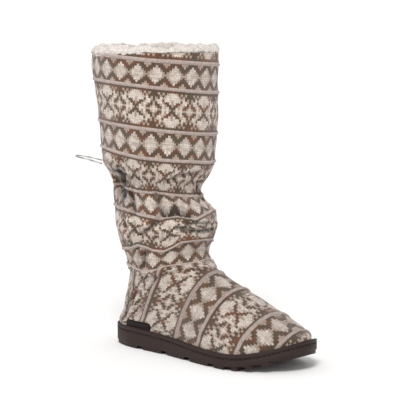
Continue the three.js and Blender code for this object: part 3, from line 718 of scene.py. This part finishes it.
def lumps(angle, seed, waves):
    local = np.random.default_rng(seed)
    total = np.zeros_like(angle)
    for n in waves:
        total += local.uniform(0.5, 1) * np.sin(n * angle + local.uniform(0, 6.28)) / len(waves) ** 0.5
    return total


def addTufts(points, away):
    # Short curled tufts, each a bent cone, standing out of the roll.
    made, faces = [], []
    rows, columns = points.shape[:2]
    for _ in range(fleece["tufts"]):
        row, column = int(rng.integers(rows // 4, rows - 4)), int(rng.integers(columns))
        root, out = points[row, column], away[row, column]
        length = rng.uniform(*fleece["tuftLength"])
        bend = np.cross(out, rng.normal(size=3))
        bend /= np.linalg.norm(bend) + 1e-9
        side = np.cross(out, bend)
        start = len(made)
        for share in (0, 0.4, 0.75):
            middle = root + out * (length * share - 0.3) + bend * (length * 0.6 * share ** 2)
            radius = fleece["tuftThick"] * (1 - share)
            for turn in (0, 2.094, 4.189):                    # three corners round the tuft
                made.append(middle + (bend * math.cos(turn) + side * math.sin(turn)) * radius)
        made.append(root + out * length * 0.85 + bend * length * 0.75)
        faces += (start + gridFaces(3, 3)).tolist()
        faces += [(start + 6 + i, start + 6 + (i + 1) % 3, start + 9) for i in range(3)]
        faces.append((start + 2, start + 1, start))
    addMesh("fleeceTufts", made, faces, fleeceMaterial)


def addFleece():
    top = knitRings[-1]
    out = (top - (legAxis["x"][-1], 0, 0)) * (1, 1, 0)
    out /= np.linalg.norm(out, axis=1, keepdims=True)
    angle = np.arctan2(out[:, 1], out[:, 0])
    around = np.degrees(angle)
    low = lumps(angle, 3, (3, 5, 8, 13))
    fine = lumps(angle, 5, (21, 34, 47))
    droop = bell(around, *fleece["droop"])
    dip = sum(deep * bell(around, middle, half) for middle, half, deep in fleece["dips"])
    tuckAt, tuckHalf, tuckDeep = fleece["tuck"]
    tuck = tuckDeep * bell(turnFrom(around, tuckAt), 0, tuckHalf)
    knots = np.linspace(0, 1, len(fleeceProfile))
    fineKnots = np.linspace(0, 1, fleece["rows"])
    inwards, ups = (np.interp(fineKnots, knots, gaussian(np.array(part), 0.5, 0, False))
                    for part in zip(*fleeceProfile))
    points = []
    for knot, inward, up in zip(fineKnots, inwards, ups):
        base = top
        if up < -3:                       # the lower rows follow the knit down inside the collar
            base = knitRings[np.argmin(np.abs(knitRings[:, 0, 2] - upperShape["collarTop"] - up))]
        ring = base + out * (inward + (droop * 0.5 - tuck) * smoothStep(knot, 0.4, 0.6))[:, None]
        swell = (1.6 * low + 0.6 * fine) * smoothStep(up, -2, 6)
        ring[:, 2] = (top[:, 2] + up + swell - droop * 5 * smoothStep(knot, 0.45, 1)
                      - dip * smoothStep(up, 0, 8))
        points.append(ring)
    points = np.array(points)
    away = ringNormals(points)
    curl = np.array([[noise.noise(Vector(p) / 7.0) * 1.5 + noise.noise(Vector(p) / 3.0) * 0.9 for p in row]
                     for row in points])
    points = points + away * (curl * smoothStep(fineKnots, 0.05, 0.3)[:, None])[..., None]
    faces = gridFaces(*points.shape[:2])
    collar = addMesh("fleeceCollar", points.reshape(-1, 3), faces, fleeceMaterial)
    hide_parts("fleece_collar")
    addTufts(points, away)
    # Lining down the leg and foot, set in from the knit.
    lining = (knitRings - ringNormals(knitRings) * fleece["liningIn"])[:-fleece["liningFrom"]:2, ::2]
    faces = gridFaces(*lining.shape[:2])[:, ::-1]
    addMesh("fleeceLining", lining.reshape(-1, 3), faces, fleeceMaterial)


addFleece()
print("fleece made")

soleFinish = {"colour": "#261a18", "worn": "#342522", "stitch": "#0d0908"}


def mouldedRubber():
    # Thermoplastic rubber, injection moulded: dark brown, satin, with a spark-eroded grain that is drawn
    # coarser than the real 0.1 mm, to show.
    material, tree, shader, place = newMaterial("thermoplastic rubber, moulded", {"Specular IOR Level": 0.25})
    grain = addNode(tree, "TexNoise", None, {"Vector": place, "Scale": 1 / (0.8 * mm), "Detail": 2.0})
    patches = addNode(tree, "TexNoise", None, {"Vector": place, "Scale": 1 / (30 * mm), "Detail": 4.0})
    colour = addNode(tree, "Mix", "RGBA", {0: patches, 6: soleFinish["colour"], 7: soleFinish["worn"]}, 2)
    roughness = addNode(tree, "MapRange", None, {
        "Value": patches, "From Min": 0.3, "From Max": 0.7, "To Min": 0.5, "To Max": 0.65})
    bump = addNode(tree, "Bump", None, {"Height": grain, "Distance": 0.15 * mm, "Strength": 0.4})
    joinInputs(shader, {"Base Color": colour, "Roughness": roughness, "Normal": bump})
    return material


def addSole():
    count, edge, wall, heelMiddle = sole["points"], sole["edge"], sole["wall"], sole["heelMiddle"]
    tread, treadInset, deep = sole["tread"], sole["treadInset"], sole["grooveDepth"]
    grooveTop = -sole["rimBand"]
    grooveLow, slope = grooveTop - sole["groove"], 0.3 * sole["groove"]
    # Rings from the tread up the side, over the rim and down inside it: the line that a ring's height is
    # measured from, how far above it, and the inset from the sole's outline.
    levels = (
        (soleBottom, 0, treadInset + 1.6 * edge), (soleBottom, 0, treadInset + 0.7 * edge),
        (soleBottom, 0.4 * edge, treadInset), (soleBottom, tread - 0.5, treadInset),
        (soleBottom, tread, 0.7 * edge), (soleBottom, tread + 0.5 * edge, 0.15), (soleBottom, tread + edge, 0),
        (rimTop, grooveLow - 0.4, 0), (rimTop, grooveLow, 0.3), (rimTop, grooveLow + slope, deep),
        (rimTop, grooveTop - slope, deep), (rimTop, grooveTop, 0.3), (rimTop, grooveTop + 0.4, 0),
        (rimTop, -edge, 0), (rimTop, -0.3 * edge, 0.3), (rimTop, 0, edge), (rimTop, 0, wall - 0.9),
        (rimTop, -0.5, wall - 0.2), (soleFloor, 0.2, wall + 0.2),
    )
    rings = []
    for height, above, inset in levels:
        x, y = insetOutline(inset, count).T
        rings.append(np.column_stack([x - heelMiddle, y, height(x) + above]))
    points, faces = np.concatenate(rings), gridFaces(len(rings), count).tolist()
    # Tread and inner floor: more rings, drawn in towards the middle line.
    middle = np.clip(rings[0][:, :2], (-14, 6), (205, 6))
    drawnIn = (0.25, 0.5, 0.75, 0.995)
    for base, height, above, order in ((0, soleBottom, 0, -1), (len(rings) - 1, soleFloor, 0.2, 1)):
        index = np.append(np.arange(count) + base * count, np.arange(len(drawnIn) * count) + len(points))
        plan = rings[base][:, :2]
        for share in drawnIn:
            x, y = (plan + (middle - plan) * share).T
            points = np.vstack([points, np.column_stack([x, y, height(x + heelMiddle) + above])])
        faces += index[gridFaces(len(drawnIn) + 1, count)][:, ::order].tolist()
        faces.append(index[-count:][::order].tolist())
    made = addMesh("mouldedSole", points, faces, mouldedRubber())
    cutLugs(made)
    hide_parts("outsole")


def cutLugs(body):
    # Each cross groove is cut by a box, a little narrower at its top.
    points, faces = [], []
    for x in sole["lugPlaces"]:
        top = float(soleBottom(np.array(x))) + sole["tread"] - sole["lugSink"]
        half = sole["lugGroove"] / 2
        start = len(points)
        for z, wide in ((-20, half + 0.5), (top - 0.6, half), (top, half - 0.6)):
            points += [(x - sole["heelMiddle"] + side * wide, y, z)
                       for side, y in ((-1, -80), (1, -80), (1, 80), (-1, 80))]
        faces += [(start + 3, start + 2, start + 1, start), *(start + gridFaces(3, 4)).tolist(),
                  (start + 8, start + 9, start + 10, start + 11)]
    mesh = bpy.data.meshes.new("lugCutter")
    mesh.from_pydata([tuple(v * mm for v in p) for p in points], [], faces)
    cutter = addObject("lugCutter", mesh)
    cut = body.modifiers.new("lugs", "BOOLEAN")
    cut.operation, cut.solver, cut.object = "DIFFERENCE", "EXACT", cutter
    evaluated = body.evaluated_get(bpy.context.evaluated_depsgraph_get())
    result = bpy.data.meshes.new_from_object(evaluated)
    body.modifiers.clear()
    body.data = result
    result.set_sharp_from_angle(angle=math.radians(50))
    bpy.data.objects.remove(cutter)


addSole()
print("sole made")


def waxedThread():
    # Waxed polyester thread, twisted: dark and a little glossy.
    material, tree, shader, place = newMaterial("waxed polyester thread, twisted", {"Roughness": 0.5})
    twistScale = 1 / (0.5 * mm) / waveRepeats
    twist = addNode(tree, "TexWave", {"bands_direction": "DIAGONAL"}, {"Vector": place, "Scale": twistScale}, 1)
    colour = addNode(tree, "Mix", "RGBA", {0: twist, 6: soleFinish["stitch"], 7: soleFinish["colour"]}, 2)
    joinInputs(shader, {"Base Color": colour})
    return material


# A stitch from end to end: share of its length, and its width there as a share of the thread
stitchProfile = ((0.0, 0.05), (0.12, 0.7), (0.3, 1.0), (0.7, 1.0), (0.88, 0.7), (1.0, 0.05))


def addSoleStitches():
    plan = insetOutline(0.3, 1600)
    travelled = lengthsAlong(plan)
    sides, ends = sole["stitchSides"], len(stitchProfile) - 1
    points, faces = [], []
    for k in range(int(travelled[-1] / sole["stitchStep"])):
        start = len(points)
        for share, width in stitchProfile:
            at = (k + 0.2) * sole["stitchStep"] + share * sole["stitchLength"]
            (x, nextX), (y, nextY) = (np.interp((at, at + 0.5), travelled, plan[:, i]) for i in (0, 1))
            outward = np.array([nextY - y, x - nextX]) / math.hypot(nextX - x, nextY - y)
            z = float(rimTop(np.array(x))) - sole["rimBand"] - sole["groove"] / 2
            radius = sole["stitchThick"] / 2 * width
            for side in range(sides):
                turn = 2 * math.pi * side / sides
                points.append((x - sole["heelMiddle"] + outward[0] * radius * math.cos(turn),
                               y + outward[1] * radius * math.cos(turn), z + radius * math.sin(turn)))
        faces += (start + gridFaces(len(stitchProfile), sides)).tolist()
        faces += [tuple(range(start, start + sides))[::-1],
                  tuple(range(start + ends * sides, start + (ends + 1) * sides))]
    addMesh("soleStitches", points, faces, waxedThread())


addSoleStitches()
print("stitches made")

# Footbed, puffed up a little towards its middle line
insole = {"inset": 4.2, "points": 160, "rings": 14, "above": 0.6, "puff": 4.6, "wave": 0.7,
          "middle": ((30, 5), (235, 5))}


def addInsole():
    plan = insetOutline(sole["wall"] + insole["inset"], insole["points"])
    middle = np.clip(plan, *insole["middle"])
    rings = []
    for share in np.linspace(0, 1, insole["rings"]):
        x, y = (plan + (middle - plan) * (share * 0.995)).T
        puff = 1.0 - math.exp(-share * 9)
        wave = insole["wave"] * np.sin(x / 6.1 + y / 7.7) * np.sin(y / 5.3 - x / 9.2)
        height = soleFloor(x) + insole["above"] + insole["puff"] * puff + wave * puff
        rings.append(np.column_stack([x - sole["heelMiddle"], y, height]))
    points = np.concatenate(rings)
    faces = gridFaces(len(rings), len(plan)).tolist()
    faces.append(range(len(points) - len(plan), len(points)))
    made = addMesh("fleeceInsole", points, faces, fleeceMaterial)
    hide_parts("insole")


addInsole()
print("insole made")

# Bare rubber patch on the outer side of the heel
patch = {"length": 42, "height": 9.5, "lower": 3.4, "points": 72, "colour": "#150b0b", "worn": "#1f1213"}
# From the hidden edge to the face: inset from the oval, and how far each ring stands out of the knit
patchProfile = ((0, -0.8), (0, 0.9), (0.25, 1.5), (0.7, 1.75), (1.2, 1.5), (1.5, 1.15), (2.2, 1.1),
                (3.4, 1.15), (4.5, 1.2))


def softPvc():
    # Soft PVC, moulded: near black, slightly glossy, with a thin raised edge that catches the light. Its
    # grain is drawn coarser than the real one, to show.
    material, tree, shader, place = newMaterial("soft PVC, moulded", {
        "Roughness": 0.45, "Specular IOR Level": 0.15})
    grain = addNode(tree, "TexNoise", None, {"Vector": place, "Scale": 1 / (1.0 * mm), "Detail": 2.0})
    colour = addNode(tree, "Mix", "RGBA", {0: grain, 6: patch["colour"], 7: patch["worn"]}, 2)
    bump = addNode(tree, "Bump", None, {"Height": grain, "Distance": 0.1 * mm, "Strength": 0.4})
    joinInputs(shader, {"Base Color": colour, "Normal": bump})
    return material


def addPatch():
    lowest, highest = (np.array(corner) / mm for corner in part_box("heel_patch"))
    centreX, centreZ = (lowest[0] + highest[0]) / 2, (lowest[2] + highest[2]) / 2 - patch["lower"]
    radius = patch["height"] / 2
    half = patch["length"] / 2 - radius
    skin = BVHTree.FromPolygons([Vector(p) for p in knitRings.reshape(-1, 3)],
                                gridFaces(*knitRings.shape[:2]).tolist())
    turns = np.linspace(0, 2 * math.pi, patch["points"], endpoint=False)
    points = []
    for inset, rise in patchProfile:
        for turn in turns:
            side = 1 if math.cos(turn) >= 0 else -1
            x = centreX + side * half + (radius - inset) * math.cos(turn)
            z = centreZ + (radius - inset) * math.sin(turn)
            hit = skin.ray_cast(Vector((x, -90, z)), Vector((0, 1, 0)))[0]
            points.append((x, hit.y - rise, z))
    faces = gridFaces(len(patchProfile), len(turns)).tolist()
    first, last = len(points) - len(turns), len(points) - 1
    faces += [(first + i, first + i + 1, last - i - 1, last - i) for i in range(len(turns) // 2 - 1)]
    made = addMesh("heelPatch", points, faces, softPvc())
    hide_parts("heel_patch")


addPatch()
print("patch made")

# Floor and light
studio = {"floor": "#f7f6f5", "floorTooth": "#f8f7f6", "floorSize": 12, "floorSink": 0.0002,
          "fades": (0.12, 0.4), "glow": (1.05, 0.62),
          "sun": 2.15, "sunWidthDeg": 20, "sunFrom": (0.35, -0.54, 0.766)}


def coatedPaper():
    # Matt coated paper: plain, nearly white, with a faint tooth drawn coarser than the real one.
    material, tree, shader, place = newMaterial("paper, matt coated", {"Roughness": 0.95})
    tooth = addNode(tree, "TexNoise", None, {"Vector": place, "Scale": 1 / (3 * mm)})
    colour = addNode(tree, "Mix", "RGBA", {0: tooth, 6: studio["floor"], 7: studio["floorTooth"]}, 2)
    joinInputs(shader, {"Base Color": colour})
    return material


def addStudio():
    bpy.ops.mesh.primitive_plane_add(size=studio["floorSize"], location=(0, 0, -studio["floorSink"]))
    floor = bpy.context.object
    floor.name = "floor"
    floor.data.materials.append(coatedPaper())
    # The surround is brightest at the horizon and fades above it, between these two heights.
    world = bpy.data.worlds.new("studio")
    world.use_nodes = True
    sky = world.node_tree
    way = addNode(sky, "SeparateXYZ", None, (addNode(sky, "TexCoord"),), 2)
    (low, high), (horizon, ceiling) = studio["fades"], studio["glow"]
    glow = addNode(sky, "MapRange", None, {
        "Value": way, "From Min": low, "From Max": high, "To Min": horizon, "To Max": ceiling})
    joinInputs(sky.nodes["Background"], {"Strength": glow})
    sky.nodes["Background"].inputs["Color"].default_value = (1, 1, 1, 1)
    bpy.context.scene.world = world
    sun = addObject("softKey", bpy.data.lights.new("softKey", "SUN"))
    sun.data.energy = studio["sun"]
    sun.data.angle = math.radians(studio["sunWidthDeg"])
    sun.rotation_euler = Vector(studio["sunFrom"]).to_track_quat("Z", "Y").to_euler()
    bpy.context.scene.view_settings.view_transform = "Standard"


addStudio()
print("studio set")
